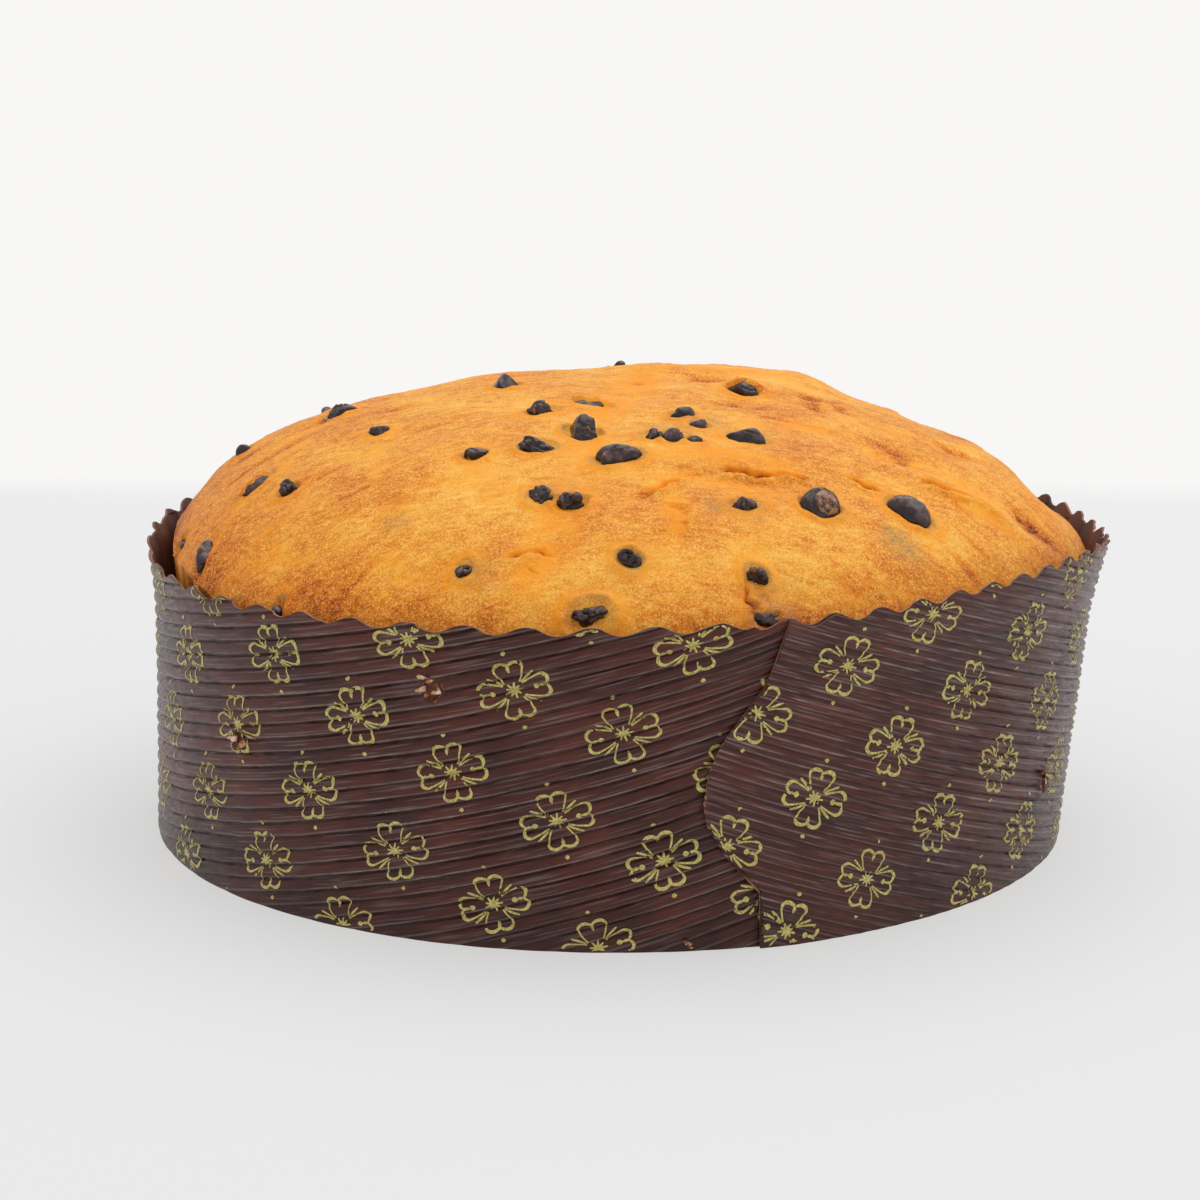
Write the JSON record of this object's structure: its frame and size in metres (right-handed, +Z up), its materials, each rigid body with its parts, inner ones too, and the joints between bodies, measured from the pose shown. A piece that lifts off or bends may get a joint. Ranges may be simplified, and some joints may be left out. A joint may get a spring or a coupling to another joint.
{
  "type": "panettone in a paper baking case",
  "caption": "Low round sweet loaf with chocolate drops, its domed crust standing over a fluted brown paper case with a scalloped rim and a lapped seam.",
  "frame": {"origin": "middle of the paper case's underside, on the surface it stands on", "axes": "+Z up through the loaf; the case's lapped seam faces -Y; the rim leans out toward +X"},
  "size_m": [0.2182, 0.2188, 0.1024],
  "materials": {
    "bread_crust": "baked, dry, faintly glossy on the browned swellings",
    "chocolate": "dark chocolate, satin with a dull bloom",
    "case_paper": "dark brown fluted greaseproof paper with a soft sheen",
    "case_floor_paper": "matt brown paper",
    "gold_print": "gold ink, half metallic"
  },
  "bodies": {
    "root": {"bread": "bread_crust", "paper_wall": "case_paper", "paper_floor": "case_floor_paper"}
  },
  "joints": []
}
